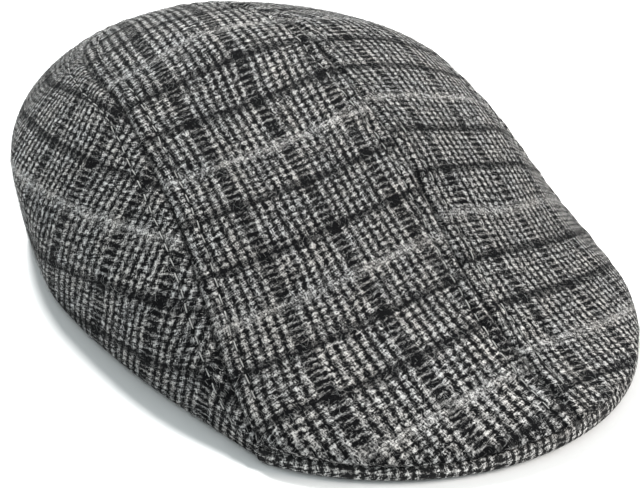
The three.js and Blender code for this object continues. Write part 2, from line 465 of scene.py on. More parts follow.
class Bench:
    """Builds one material's nodes."""

    SHEEN_ROUGHNESS = 0.5
    SPECULAR_LEVEL = 0.03

    def __init__(self, name: str) -> None:
        """Starts an empty node material.

        Args:
            name: the material's name.
        """
        self.material = bpy.data.materials.new(name)
        self.material.use_nodes = True
        self.tree = self.material.node_tree
        self.tree.nodes.clear()

    def node(self, kind: str, settings: dict[str, Any], inputs: dict[Any, Any], output: Any = 0) -> Wire:
        """Adds one node.

        Args:
            kind: the node's type.
            settings: its settings, set before its sockets.
            inputs: values or links for its sockets, by name or number.
            output: the output to hand back.

        Returns:
            The output as a wire.
        """
        made = self.tree.nodes.new(kind)
        for key, value in settings.items():
            setattr(made, key, value)
        for key, value in inputs.items():
            if isinstance(value, Wire):
                self.tree.links.new(value.socket, made.inputs[key])
            else:
                made.inputs[key].default_value = value
        return Wire(self, made.outputs[output])

    def attribute(self, name: str) -> tuple[Wire, Wire, Wire]:
        """The three parts of a vector kept on the mesh."""
        vector = self.node("ShaderNodeAttribute", {"attribute_name": name}, {}, "Vector")
        return self.parts(vector)

    def parts(self, vector: Wire) -> tuple[Wire, Wire, Wire]:
        """Splits a vector.

        Args:
            vector: the vector.

        Returns:
            Its three parts.
        """
        split = self.tree.nodes.new("ShaderNodeSeparateXYZ")
        self.tree.links.new(vector.socket, split.inputs[0])
        return tuple(Wire(self, split.outputs[i]) for i in range(3))

    def vector(self, x: Union[Wire, Number], y: Union[Wire, Number], z: Union[Wire, Number]) -> Wire:
        """A vector from three parts."""
        return self.node("ShaderNodeCombineXYZ", {}, {0: x, 1: y, 2: z})

    def place(self) -> Wire:
        """The place on the surface, in metres."""
        return self.node("ShaderNodeNewGeometry", {}, {}, "Position")

    def noise(self, vector: Wire, scale: float, detail: float = 2.0, roughness: float = 0.5) -> Wire:
        """Cloudy noise about 0, from -0.5 to 0.5."""
        inputs = {"Vector": vector, "Scale": scale, "Detail": detail, "Roughness": roughness}
        return self.node("ShaderNodeTexNoise", {}, inputs, "Fac") - 0.5

    def tint(self, colour: Tint) -> Union[Wire, tuple[float, ...]]:
        """A colour as a colour socket takes it."""
        return colour if isinstance(colour, Wire) else (*colour, 1)

    def blend(self, share: Wire, low: Tint, high: Tint) -> Wire:
        """A colour between two colours, or past them where the share leaves 0 to 1."""
        inputs = {0: share, 6: self.tint(low), 7: self.tint(high)}
        return self.node("ShaderNodeMix", {"data_type": "RGBA", "clamp_factor": False}, inputs, 2)

    def finish(self, colour: Tint, roughness: Union[Wire, float], height: Optional[Wire] = None,
               depth: float = 0.0, sheen: float = 0.0) -> bpy.types.Material:
        """Adds the surface shader and hands the material back.

        Args:
            colour: the base colour.
            roughness: the roughness.
            height: what the bump follows, from 0 to 1.
            depth: how deep the bump is, in metres.
            sheen: how much cloth sheen there is.

        Returns:
            The material.
        """
        inputs: dict[Any, Any] = {"Base Color": self.tint(colour)}
        inputs["Roughness"] = roughness
        inputs["Sheen Weight"] = sheen
        inputs["Sheen Roughness"] = self.SHEEN_ROUGHNESS
        inputs["Specular IOR Level"] = self.SPECULAR_LEVEL
        if height is not None:
            inputs["Normal"] = self.node("ShaderNodeBump", {}, {"Height": height, "Distance": depth, "Strength": 1.0})
        shader = self.node("ShaderNodeBsdfPrincipled", {}, inputs)
        self.node_output(shader)
        return self.material

    def node_output(self, shader: Wire) -> None:
        """Links a shader to the material's output."""
        out = self.tree.nodes.new("ShaderNodeOutputMaterial")
        self.tree.links.new(shader.socket, out.inputs[0])


class WoolNoise:
    """The wool's unevenness: cloudy noises over the cloth, from broad to fine, in its own millimetres."""

    BROAD = 0.12
    MIDDLE = 0.5
    FINE = 1.15
    FINEST = 1.9

    def __init__(self, bench: Bench, u: Wire, v: Wire, seed: Wire) -> None:
        """Adds the noises.

        Args:
            bench: the material's bench.
            u: distance across the columns.
            v: distance along them.
            seed: what sets one panel's noise apart from another's.
        """
        place = bench.vector(u, v, seed)
        swapped = bench.vector(v, u, seed + 7)
        self.wander = bench.noise(place, self.BROAD)
        self.jitter = bench.noise(place, self.MIDDLE, 2, 0.6)
        self.curl = bench.noise(place, self.FINE, 3, 0.7)
        self.twirl = bench.noise(swapped, self.FINE, 3, 0.7)
        self.fuzz = bench.noise(swapped, self.FINEST, 2, 0.75)
        along_row = bench.vector(u * 0.5 + v * 0.15 + self.curl, v * 1.7 - u * 0.4 + self.twirl, seed)
        along_column = bench.vector(u * 1.6 + v * 0.5, v * 0.6 - u * 0.5 + self.curl, seed + 3)
        self.hair = bench.noise(along_row, self.FINE, 1, 0.7)
        self.lint = bench.noise(along_column, self.FINE, 1, 0.7)


@dataclass(frozen=True)
class CheckedCloth:
    """Woolly check: columns of light beads crossed by dark and light lines and by broad dark bands.

    The cloth's own coordinates are kept on the mesh: columns across, rows along, and the panel's seed.

    Args:
        name: the material's name.
        dark: colour of the dark threads.
        light: colour of the light threads.
        warm: colour that the light threads wander to.
        lightest: how far past the light threads' colour a tuft may go.
        softness: power below 1 that lifts the greys between dark and light.
        strength: how light the whole cloth is.
        rung: how light the short rows are that cross a broad band.
        relief: depth of the bump, in metres.
        sheen: how much cloth sheen there is.
        stitch_groove_shade: how much painted shade darkens the sunk line of stitches.
        seam_valley_shade: how much painted shade darkens the cloth in the valley at the seam.
    """

    name: str
    dark: Colour = (0.004, 0.0042, 0.0047)
    light: Colour = (0.4, 0.406, 0.41)
    warm: Colour = (0.413, 0.402, 0.389)
    lightest: float = 1.5
    softness: float = 0.92
    strength: float = 0.94
    rung: float = 0.46
    relief: float = 0.0007
    sheen: float = 0.005
    stitch_groove_shade: float = 0.85
    seam_valley_shade: float = 0.7

    def material(self) -> bpy.types.Material:
        """Builds the cloth's material.

        Returns:
            The material.
        """
        bench = Bench(self.name)
        column, row, seed = bench.attribute("cloth")
        sewn, run, _ = bench.attribute("sewing")
        wool = WoolNoise(bench, column * WEAVE.column, row * WEAVE.row, seed)
        light = self.tufts(self.check(column, row, wool), wool)
        # Painted shade: the cloth is darkened along the sunk line of stitches, where shade falls in the groove.
        sunk = sewn.hump(STITCH_FROM_SEAM, 1.0) * self.stitch_groove_shade
        # Painted shade: the cloth is also darkened in the valley at the seam.
        light = light * (1 - sunk) * (1 - sewn.fall(0.2, 1.1) * self.seam_valley_shade)
        tone = bench.blend((wool.wander * 2 + 0.5).rise(0, 1), self.light, self.warm)
        beat = 0.65 + (run * (1 / STITCH_PITCH)).wave() * 0.35
        groove = sewn.hump(STITCH_FROM_SEAM, 0.9) * beat
        height = light * 0.35 + wool.curl * 0.6 + wool.fuzz * 0.5 + (1 - groove) * 0.8
        roughness = 0.93 + wool.fuzz * 0.1
        return bench.finish(bench.blend(light, self.dark, tone), roughness, height, self.relief, self.sheen)

    def ground(self, column: Wire, row: Wire, wool: WoolNoise) -> tuple[Wire, Wire]:
        """The two plain weaves.

        Args:
            column: columns.
            row: rows.
            wool: the wool's unevenness.

        Returns:
            How light the beaded ground is, and the short rows that cross a broad band.
        """
        rough = wool.hair + wool.curl
        # Columns wander sideways and rows up and down, so no two beads are alike.
        across = column + wool.wander * 0.3 + wool.twirl * 0.38
        down = row + wool.curl * 0.5 + wool.jitter * 0.3
        warp = across.wave() * 0.5 + 0.5
        weft = (down.wave() + rough * 0.8) * 0.5 + 0.5
        bead = (warp * (0.5 + weft * 0.56) + weft * 0.13 + (wool.hair + wool.lint) * 1.1).rise(0.08, 1.22)
        return bead, (weft + rough * 1.8 - 0.3).rise(0.1, 1.0) * self.rung

    def check(self, column: Wire, row: Wire, wool: WoolNoise) -> Wire:
        """Lays the check over the ground: broad bands without light columns, and dark and light lines.

        Args:
            column: columns.
            row: rows.
            wool: the wool's unevenness.

        Returns:
            The cloth's lightness before its tufts.
        """
        bead, rung = self.ground(column, row, wool)
        band = (column + wool.jitter * 0.5).bounce(WEAVE.columns_per_band / 2).fall(0.45, 0.75)
        repeat = (row + wool.jitter * 0.8 + wool.curl * 0.3).bounce(WEAVE.rows_per_repeat / 2)
        dark_line = abs(repeat - WEAVE.rows_per_line).fall(0.4, 0.9)
        light_line = repeat.fall(0.3, 0.85) * (0.46 - band * 0.14 + wool.curl * 1.2)
        light = bead.toward(rung, band) * (1 - dark_line * (0.8 + band * 0.2 + wool.curl * 0.9))
        return light.toward(1.05 + wool.curl * 2.0, light_line)

    def tufts(self, light: Wire, wool: WoolNoise) -> Wire:
        """Roughens the check with tufts and stray strokes of light wool.

        Args:
            light: the check's lightness.
            wool: the wool's unevenness.

        Returns:
            The cloth's lightness.
        """
        gloss = 0.8 + wool.fuzz * 4.6 + wool.hair * 3.6 + wool.lint * 3.4 + wool.wander * 0.6
        # Strokes are light hairs that also cross the dark threads.
        strokes = wool.hair.larger(wool.lint).rise(0.12, 0.34) * 0.2
        tufted = (light * gloss + strokes + wool.curl * 0.15 - 0.022).larger(0.0).smaller(self.lightest)
        return tufted.power(self.softness) * self.strength


@dataclass(frozen=True)
class ThreadFinish:
    """Light sewing thread, a little twisted.

    Args:
        name: the material's name.
        colour: the thread's colour.
        shaded: what part of it is left in the thread's dark blotches.
        blotch_scale: how fine the blotches are, per metre.
        twist_scale: how fine the twist is, per metre.
        relief: depth of the twist, in metres.
    """

    name: str
    colour: Colour = (0.4, 0.4, 0.39)
    shaded: float = 0.45
    blotch_scale: float = 260
    twist_scale: float = 2400
    relief: float = 0.0001

    def material(self) -> bpy.types.Material:
        """Builds the thread's material.

        Returns:
            The material.
        """
        bench = Bench(self.name)
        place = bench.place()
        blotch = bench.noise(place, self.blotch_scale)
        twist = bench.noise(place, self.twist_scale, 1)
        dark = tuple(part * self.shaded for part in self.colour)
        colour = bench.blend((blotch * 1.6 + twist * 0.8 + 0.55).rise(0, 1), dark, self.colour)
        return bench.finish(colour, 0.7 + blotch * 0.2, twist + 0.5, self.relief)


@dataclass(frozen=True)
class FibreFinish:
    """Loose wool fibres, from nearly black to nearly white.

    Args:
        name: the material's name.
        dark: the darkest fibre's colour.
        light: the lightest fibre's colour.
        blotch_scale: how fine the colour's unevenness is, per metre.
        gloss_scale: how fine the gloss's unevenness is, per metre.
    """

    name: str
    dark: Colour = (0.02, 0.02, 0.022)
    light: Colour = (0.42, 0.42, 0.415)
    blotch_scale: float = 500
    gloss_scale: float = 300

    def material(self) -> bpy.types.Material:
        """Builds the fibres' material.

        Returns:
            The material.
        """
        bench = Bench(self.name)
        shade, _, _ = bench.attribute("shade")
        place = bench.place()
        share = (shade + bench.noise(place, self.blotch_scale, 1) * 0.3).rise(0, 1)
        roughness = 0.8 + bench.noise(place, self.gloss_scale, 1) * 0.2
        return bench.finish(bench.blend(share, self.dark, self.light), roughness)


@dataclass(frozen=True)
class FloorFinish:
    """Plain pale floor with a trace of mottling.

    Args:
        name: the material's name.
        colour: the floor's colour.
        mottled: what part of it is left in the mottling.
        cloud_scale: how fine the mottling is, per metre.
    """

    name: str
    colour: Colour = (0.86, 0.87, 0.875)
    mottled: float = 0.99
    cloud_scale: float = 9

    def material(self) -> bpy.types.Material:
        """Builds the floor's material.

        Returns:
            The material.
        """
        bench = Bench(self.name)
        cloud = bench.noise(bench.place(), self.cloud_scale)
        other = tuple(part * self.mottled for part in self.colour)
        return bench.finish(bench.blend(cloud + 0.5, self.colour, other), 0.6 + cloud * 0.1)


def make_piece(name: str, points: np.ndarray, faces: list, finish: bpy.types.Material,
               slot: Optional[Slot]) -> bpy.types.Object:
    """Makes one smooth piece that rides on the cap.

    Args:
        name: the piece's name.
        points: its points in millimetres.
        faces: its faces.
        finish: its material.
        slot: any of the record's slots attaches the piece to the cap's body; None leaves it as a piece of the studio.

    Returns:
        The new object.
    """
    mesh = bpy.data.meshes.new(name)
    mesh.from_pydata((points * MM).tolist(), [], faces)
    mesh.polygons.foreach_set("use_smooth", [True] * len(mesh.polygons))
    mesh.update()
    mesh.materials.append(finish)
    piece = bpy.data.objects.new(name, mesh)
    bpy.context.scene.collection.objects.link(piece)
    if slot is not None:
        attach(piece, BODY)
    LOG.info("%s: %d points, %d faces", name, len(mesh.vertices), len(mesh.polygons))
    return piece


def keep_vectors(piece: bpy.types.Object, name: str, values: np.ndarray) -> None:
    """Keeps a vector for each point of a piece, for its material to read."""
    made = piece.data.attributes.new(name, "FLOAT_VECTOR", "POINT")
    made.data.foreach_set("vector", values.astype(np.float32).ravel())


def grid_faces(rows: int, columns: int, first: int, flip: bool) -> np.ndarray:
    """Quads over a grid of points.

    Args:
        rows: how many rows it has.
        columns: how many points are in a row.
        first: the index of its first point.
        flip: whether the quads look the other way.

    Returns:
        The four indices of each quad.
    """
    i, j = np.meshgrid(np.arange(rows - 1), np.arange(columns - 1), indexing="ij")
    a = (first + i * columns + j).ravel()
    quads = np.stack([a, a + 1, a + columns + 1, a + columns], -1)
    return quads[:, ::-1] if flip else quads


def sleeve_faces(rings: int, size: int, first: int = 0) -> np.ndarray:
    """Quads round a sleeve of closed rings of points.

    Args:
        rings: how many rings it has.
        size: how many points are in a ring.
        first: the index of its first point.

    Returns:
        The four indices of each quad.
    """
    i, j = np.meshgrid(np.arange(rings - 1), np.arange(size), indexing="ij")
    a = (first + i * size + j).ravel()
    b = (first + i * size + (j + 1) % size).ravel()
    return np.stack([a, b, b + size, a + size], -1)


def grid_normals(points: np.ndarray, outward: np.ndarray) -> np.ndarray:
    """Outward directions over a grid of points.

    Args:
        points: the grid.
        outward: rough outward directions, which settle the sign and stand in where the grid closes to a point.

    Returns:
        Unit directions.
    """
    crossed = np.cross(np.gradient(points, axis=0), np.gradient(points, axis=1))
    size = np.linalg.norm(crossed, axis=-1, keepdims=True)
    known = np.where(size > 1e-4, crossed / np.maximum(size, 1e-9), outward)
    sign = np.sign((known * outward).sum(-1, keepdims=True))
    return known * np.where(sign == 0, 1, sign)


@dataclass
class ClothPanel:
    """One shaped panel of cloth: a grid over its outer face, and what is known at each point of it.

    Args:
        name: the piece's name.
        node: the solid that it stands for.
        side: the half of the cap.
        outer: the outer face's points in the cap's plan.
        normals: outward directions there.
        thickness: the cloth's thickness there.
        cloth: columns, rows and seed there.
        sewing: distance from the nearest seam and the run along it.
        seams: distances from each seam that has a topstitched line, and whether they grow from row to row.
    """

    name: str
    node: str
    side: Side
    outer: np.ndarray
    normals: np.ndarray
    thickness: np.ndarray
    cloth: np.ndarray
    sewing: np.ndarray
    seams: tuple[tuple[np.ndarray, bool], ...]

    def shell(self) -> np.ndarray:
        """Joins the outer face, the inner face and the wall round their edge.

        Returns:
            The four indices of each quad.
        """
        rows, columns = self.thickness.shape
        count = rows * columns
        flip = self.side is Side.LEFT
        ring = np.concatenate([
            np.arange(columns),
            np.arange(1, rows) * columns + columns - 1,
            (rows - 1) * columns + np.arange(columns - 2, -1, -1),
            np.arange(rows - 2, 0, -1) * columns,
        ])
        after = np.roll(ring, -1)
        wall = np.stack([ring, ring + count, after + count, after], -1)
        faces = [grid_faces(rows, columns, 0, flip), grid_faces(rows, columns, count, not flip)]
        return np.concatenate([*faces, wall[:, ::-1] if flip else wall])

    def build(self, form: CapForm, finish: bpy.types.Material) -> bpy.types.Object:
        """Makes the panel's closed shell and stands it for its solid.

        Args:
            form: the cap's form.
            finish: the cloth's material.

        Returns:
            The panel.
        """
        inner = self.outer - self.normals * self.thickness[..., None]
        for layer in (self.outer, inner):
            layer[..., 2] = np.maximum(layer[..., 2], LOWEST)
        layers = [form.place(layer, self.side, PANEL_GAP).reshape(-1, 3) for layer in (self.outer, inner)]
        piece = make_piece(self.name, np.concatenate(layers), self.shell().tolist(), finish, Slot.CHECK)
        keep_vectors(piece, "cloth", np.concatenate([self.cloth.reshape(-1, 3)] * 2))
        keep_vectors(piece, "sewing", np.concatenate([self.sewing.reshape(-1, 3)] * 2))
        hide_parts(self.node)
        return piece

    def stitch_lines(self, away: float) -> list[tuple[np.ndarray, np.ndarray]]:
        """The lines on the outer face a set distance from each seam.

        Args:
            away: the distance from the seam.

        Returns:
            Each line's points in the cap's plan and the outward directions along it.
        """
        lines = []
        for distance, across_rows in self.seams:
            grids = (distance, self.outer, self.normals)
            found = level_line(*(np.moveaxis(grid, 0, 1) if across_rows else grid for grid in grids), away)
            if len(found[0]) > 8:
                lines.append(found)
        return lines


def level_line(distance: np.ndarray, outer: np.ndarray, normals: np.ndarray,
               away: float) -> tuple[np.ndarray, np.ndarray]:
    """The line over a grid along which a distance has one value.

    Args:
        distance: the distance at each point, not a number where it isn't wanted.
        outer: the points.
        normals: outward directions there.
        away: the value.

    Returns:
        The line's points and the outward directions along it.
    """
    path, outward = [], []
    for run, points, directions in zip(distance, outer, normals):
        known = np.flatnonzero(~np.isnan(run))
        if len(known) < 2:
            continue
        if run[known[0]] > run[known[-1]]:
            known = known[::-1]
        run, points, directions = run[known], points[known], directions[known]
        if run[0] <= away < run[-1]:
            at = np.interp(away, run, np.arange(len(run)))
            low = min(int(at), len(run) - 2)
            path.append(points[low] + (points[low + 1] - points[low]) * (at - low))
            outward.append(directions[low])
    return np.array(path), np.array(outward)


@dataclass(frozen=True)
class SeamRelief:
    """How the cloth rises and dips beside a sewn seam, in millimetres.

    Args:
        valley: depth of the dip at the seam.
        valley_width: its width.
        ridge: height of the swell beside it, over the turned-in edge.
        ridge_at: where the swell is highest.
        ridge_width: its width.
        pucker: height of the small waves between the stitches.
        pucker_at: where they are highest.
        pucker_width: how far they reach.
        pucker_length: their length along the seam.
        pucker_swing: how unevenly they follow each other.
        swing_length: over what length that varies.
        groove: depth of the line that the stitches are sunk in.
        groove_width: its width.
    """

    valley: float = 0.75
    valley_width: float = 1.2
    ridge: float = 0.35
    ridge_at: float = 3.3
    ridge_width: float = 2.2
    pucker: float = 0.22
    pucker_at: float = 4.5
    pucker_width: float = 4.0
    pucker_length: float = 12.5
    pucker_swing: float = 1.7
    swing_length: float = 31
    groove: float = 0.2
    groove_width: float = 0.9

    def lift(self, away: np.ndarray, run: np.ndarray) -> np.ndarray:
        """How far the cloth stands out.

        Args:
            away: distance from the seam.
            run: distance along it.

        Returns:
            The lift at each place.
        """
        shape = self.ridge * bell(away, self.ridge_at, self.ridge_width)
        shape = shape - self.valley * bell(away, 0, self.valley_width)
        swing = self.pucker_swing * np.sin(run / self.swing_length)
        beat = np.sin(run * 2 * math.pi / self.pucker_length + swing)
        shape = shape + self.pucker * beat * bell(away, self.pucker_at, self.pucker_width)
        return shape - self.groove * bell(away, STITCH_FROM_SEAM, self.groove_width)


@dataclass(frozen=True)
class TopChart:
    """Where the check lies on one top panel, in millimetres.

    Args:
        lines: how far forward each line crosses the middle seam.
        bulge: how far the lines bow forward, at each of the layout's bulge rows.
        bands: how far out the first three broad bands lie, at each of the layout's band rows.
        seed: what sets the panel's wool apart.
    """

    lines: tuple[float, ...]
    bulge: tuple[float, ...]
    bands: tuple[tuple[float, ...], ...]
    seed: float


@dataclass(frozen=True)
class SideChart:
    """What differs between the side panels' checks.

    Args:
        arc_slope: how steeply the bands bend away from upright.
        seed: what sets the panel's wool apart.
    """

    arc_slope: float
    seed: float


@dataclass(frozen=True)
class CheckLayout:
    """Where the check lies on the panels: its lines run across the cap and its broad bands from back to front.

    On a top panel u is the distance over the cloth from the middle seam, and v the distance forward along that seam
    from the crown's highest point. On a side panel they are the distance round the widest line from centre back, and
    the distance up the cloth from that line. A repeat is three lines high and one band wide.
    """

    right: TopChart = TopChart(
        lines=(-28, -2, 13.3, 29.2, 49, 64.7, 82.6, 99, 113.8, 129.7, 147.3, 163.8),
        bulge=(-5, -5, -0.5, 3.5, 2.7, 2.7, 1, 0.5, 0.5, 0.5),
        bands=(
            (-25, -3, 3, 5, 8.5, 12, 14, 13, 9.5, 7, 4.5, 2, 0),
            (0, 22, 29, 31.5, 36, 38, 38.5, 38, 36, 35.3, 34, 33.8, 34),
            (26, 49.5, 55, 58, 59.5, 61, 62.3, 62.4, 63, 64, 63.7, 62.5, 61),
        ),
        seed=3.0,
    )
    left: TopChart = TopChart(
        lines=(-16, 0, 15, 29.5, 44.5, 60, 77, 92.5, 109, 125.7, 142.7, 158.5),
        bulge=(-2, -2, -1, 0, 2.5, 2.5, 1, 3.2, 1.5, 1),
        bands=(
            (-16, 6, 12, 15.5, 16, 14.5, 14, 13.5, 15, 16, 17, 17, 17),
            (11, 34, 40, 43, 42, 37, 34.5, 36.5, 37.5, 39, 41, 44, 45),
            (38, 60, 66, 68, 67, 62, 59, 57, 58.5, 62, 65, 69, 71),
        ),
        seed=11.0,
    )
    first_top_line: int = -1
    bulge_rows: tuple[float, ...] = (-30, -6, 13, 31, 50, 66, 83, 95, 110, 130)
    bulge_at: float = 33
    bulge_width: float = 20
    droop_from: float = 42
    droop: float = 0.0055
    band_rows: tuple[float, ...] = (-100, -20, 0, 15, 31, 50, 66, 85, 105, 118, 130, 145, 160)
    right_side: SideChart = SideChart(arc_slope=1.1, seed=17.0)
    left_side: SideChart = SideChart(arc_slope=0.4, seed=23.0)
    first_side_line: int = -2
    side_at: tuple[float, ...] = (0, 60, 110, 130, 155, 180, 205, 230, 255)
    side_lines: tuple[tuple[float, ...], ...] = (
        (-38, -38, -39, -39, -36, -27, -16.3, -6, 7),
        (-22, -22, -22, -24, -20, -10, 2, 13, 25),
        (-6, -5, -1, 2.5, 7, 12.3, 21.5, 33, 45),
        (10, 11.5, 17, 20.5, 22.8, 27.5, 37.5, 49, 61),
        (26, 27.5, 32, 37, 41, 45, 54, 65, 77),
    )
    side_bands: tuple[float, ...] = (5, 30, 55, 80, 105, 130, 157.5, 179.5, 204.5, 228.5, 252.5)
    arc_at: tuple[float, ...] = (0, 100, 131, 157, 180, 205, 230)
    arc_middle: tuple[float, ...] = (10, 18, 18, 16.5, 18, 9, 6)
    arc_width: tuple[float, ...] = (300, 30, 17, 26, 51, 58, 48)
    arc_depth: float = 29
    arc_ease: float = 4
    arc_relief: float = 0.65

    def top(self, form: CapForm, side: Side, points: np.ndarray) -> np.ndarray:
        """The check's coordinates over a top panel.

        Args:
            form: the cap's form.
            side: the half of the cap.
            points: the panel's points in the cap's plan.

        Returns:
            Columns, rows and seed at each point.
        """
        chart = self.right if side is Side.RIGHT else self.left
        u = form.girth(np.maximum(points[..., 0], 0), points[..., 1])
        v = form.middle_arc(points[..., 1])
        bulge = Curve(self.bulge_rows, chart.bulge)(v) * bell(u, self.bulge_at, self.bulge_width)
        level = v + self.droop * np.maximum(u - self.droop_from, 0) ** 2 - bulge
        lines = np.asarray(chart.lines)
        numbers = self.first_top_line + np.arange(len(lines))
        rows = np.interp(level, lines, WEAVE.rows_per_line * numbers)
        past = np.minimum(level - lines[0], 0) + np.maximum(level - lines[-1], 0)
        first, second, third = (Curve(self.band_rows, band)(v) for band in chart.bands)
        share = np.where(u < second, (u - first) / (second - first), 1 + (u - second) / (third - second))
        return np.stack([WEAVE.columns_per_band * share, rows + past / WEAVE.row, np.full_like(rows, chart.seed)], -1)

    def side(self, side: Side, around: np.ndarray, up: np.ndarray) -> np.ndarray:
        """The check's coordinates over a side panel.

        Args:
            side: the half of the cap.
            around: distance round the widest line from centre back.
            up: distance up the cloth from the widest line.

        Returns:
            Columns, rows and seed at each point.
        """
        chart = self.right_side if side is Side.RIGHT else self.left_side
        lines = [Curve(self.side_at, line)(around) for line in self.side_lines]
        rows = self.first_side_line * WEAVE.rows_per_line
        rows = rows + np.minimum(up - lines[0], 0) / WEAVE.row + np.maximum(up - lines[-1], 0) / WEAVE.row
        for low, high in zip(lines, lines[1:]):
            rows = rows + WEAVE.rows_per_line * np.clip((up - low) / (high - low), 0, 1)
        away = up - Curve(self.arc_at, self.arc_middle)(around)
        below = self.arc_ease * np.logaddexp(0, -(away + self.arc_depth) / self.arc_ease)
        width = Curve(self.arc_at, self.arc_width)(around)
        place = around + chart.arc_slope * (np.hypot(away + self.arc_relief * below, width) - width)
        bands = np.asarray(self.side_bands)
        columns = np.interp(place, bands, WEAVE.columns_per_band * np.arange(len(bands)))
        columns = columns + np.maximum(place - bands[-1], 0) * WEAVE.columns_per_band / (bands[-1] - bands[-2])
        columns = columns + np.minimum(place - bands[0], 0) * WEAVE.columns_per_band / (bands[1] - bands[0])
        return np.stack([columns, rows, np.full_like(rows, chart.seed)], -1)


@dataclass(frozen=True)
class Slump:
    """One place where the soft cloth has given way, in millimetres.

    Args:
        depth: how far it has moved.
        forward: where the middle of the place is.
        length: how far it reaches to either side of that.
        out: between which distances out it sets in.
        height: between which heights it sets in, or fades.
        fades: whether it fades with height.
        way: the direction that the cloth moves in, in the cap's plan.
    """

    depth: float
    forward: float
    length: float
    out: tuple[float, float]
    height: tuple[float, float]
    fades: bool
    way: tuple[float, float, float]

    def shift(self, points: np.ndarray) -> np.ndarray:
        """How far each point has moved.

        Args:
            points: the points in the cap's plan.

        Returns:
            The moves in the cap's plan.
        """
        step = smooth_step(points[..., 2], *self.height)
        amount = self.depth * bell(points[..., 1], self.forward, self.length)
        amount = amount * smooth_step(points[..., 0], *self.out) * (1 - step if self.fades else step)
        return amount[..., None] * np.array(self.way)


@dataclass(frozen=True)
class Settling:
    """How the soft cloth has settled, away from the form of its solids.

    Args:
        left: the sag over the left side in front of the crown.
        right: the right side's rim, drawn in a little behind its widest place.
    """

    left: Slump = Slump(4.5, 62, 25, (48, 80), (8, 32), False, (-0.75, 0, -0.66))
    right: Slump = Slump(2.2, -26, 24, (50, 85), (16, 36), True, (-0.85, 0.5, 0))

    def shift(self, side: Side, points: np.ndarray) -> np.ndarray:
        """How far each point of one side has moved, in the cap's plan."""
        return (self.left if side is Side.LEFT else self.right).shift(points)


def graded(start: float, end: float, count: int, finer: float) -> np.ndarray:
    """Values from start to end that lie closer together at both ends, for finer above 0."""
    u = np.linspace(0, 1, count + 1)
    return start + (end - start) * (u - finer * np.sin(2 * math.pi * u) / (2 * math.pi))


@dataclass
class Panel:
    """What a top panel and a side panel share.

    Args:
        form: the cap's form.
        side: the half of the cap.
        layout: where the check lies.
        relief: how the cloth lies beside its seams.
        settling: how the cloth has settled.
        cloth: the cloth's thickness.
    """

    form: CapForm
    side: Side
    layout: CheckLayout
    relief: SeamRelief
    settling: Settling
    cloth: float = 2.0

    def dressed(self, points: np.ndarray, normals: np.ndarray, lift: np.ndarray) -> np.ndarray:
        """The outer face's points once the cloth has been lifted beside its seams and has settled."""
        return points + normals * lift[..., None] + self.settling.shift(self.side, points)


@dataclass
class TopPanel(Panel):
    """A top panel: from the middle seam out to the side seam, and over the peak to its edge.

    Args:
        rows: points along the middle seam behind the crown, beside it and over the peak.
        row_grading: how much closer together they are toward the back and the tip.
        columns: steps from the middle seam out to the panel's edge.
        column_grading: how much closer together they are at both ends.
        inside: a point inside the cap, in its plan, that its cloth faces away from.
        slope_step: half the length over which the middle line's slope is read.
        hem_ends: stations between which the dip along the peak's edge sets in.
        hem_dip: how deep that dip is.
        hem_width: its width.
        last_stitch: the station where the side seam's stitches end.
    """

    rows: tuple[int, int, int] = (64, 61, 64)
    row_grading: float = 1.5
    columns: int = 96
    column_grading: float = 0.55
    inside: tuple[float, float, float] = (0, 25.0, -15.0)
    slope_step: float = 0.5
    hem_ends: tuple[float, float] = (1, 1.03)
    hem_dip: float = 1.0
    hem_width: float = 1.2
    last_stitch: float = 0.985

    def stations(self) -> np.ndarray:
        """The stations of the panel's rows, closer together beside the middle seam.

        Returns:
            The stations from centre back to the tip of the peak.
        """
        back = -1 + np.linspace(0, 1, self.rows[0]) ** self.row_grading
        front = np.linspace(0, 1, self.rows[1])[1:]
        peak = 2 - np.linspace(1, 0, self.rows[2])[1:] ** self.row_grading
        return np.concatenate([back, front, peak])

    def outward(self, points: np.ndarray) -> np.ndarray:
        """Outward directions over the panel, which lie in the middle plane along the middle seam.

        Args:
            points: the panel's points in the cap's plan.

        Returns:
            Unit directions.
        """
        ahead, behind = points[..., 1] + self.slope_step, points[..., 1] - self.slope_step
        slope = self.form.crown_height(ahead) - self.form.crown_height(behind)
        upright = unit(np.stack([np.zeros_like(slope), -slope, np.ones_like(slope)], -1))
        rough = unit(points - np.array(self.inside))
        rough[:, 0] = upright[:, 0]
        normals = grid_normals(points, rough)
        normals[:, 0] = upright[:, 0]
        normals[[0, -1], :, 0] = 0
        return unit(normals)

    def panel(self) -> ClothPanel:
        """Works out the panel's grid, relief, check and sewing.

        Returns:
            The panel, ready to be made.
        """
        form = self.form
        rows = self.stations()[:, None]
        end = np.where(rows < 1, form.seam_drop(rows), 1.0)
        share = graded(0, 1, self.columns, self.column_grading)[None, :]
        station = np.broadcast_to(rows, (len(rows), share.shape[1]))
        points = form.surface(station, share * end)
        normals = self.outward(points)
        inward = along(points[:, ::-1], 1)[:, ::-1]
        middle = np.maximum(points[..., 0], 0)
        middle_run = form.middle_arc(points[..., 1])
        seam_run = np.broadcast_to(along(points, 0)[:, -1:], middle.shape)
        on_side = station < 1
        lift = self.relief.lift(middle, middle_run)
        lift = lift + np.where(on_side, self.relief.lift(inward, seam_run), 0)
        hem = np.where(on_side, 0, smooth_step(station, *self.hem_ends))
        lift = lift - hem * self.hem_dip * bell(inward, 0, self.hem_width)
        nearer_side = on_side & (inward < middle)
        nearest = np.where(nearer_side, inward, middle)
        run = np.where(nearer_side, seam_run, middle_run)
        return ClothPanel(
            name=f"cap_top_{self.side.word}",
            node=f"top_panel_{self.side.word}",
            side=self.side,
            outer=self.dressed(points, normals, lift),
            normals=normals,
            thickness=np.full(middle.shape, self.cloth),
            cloth=self.layout.top(form, self.side, points),
            sewing=np.stack([nearest, run, np.zeros_like(run)], -1),
            seams=((middle, False), (np.where(station < self.last_stitch, inward, np.nan), False)),
        )


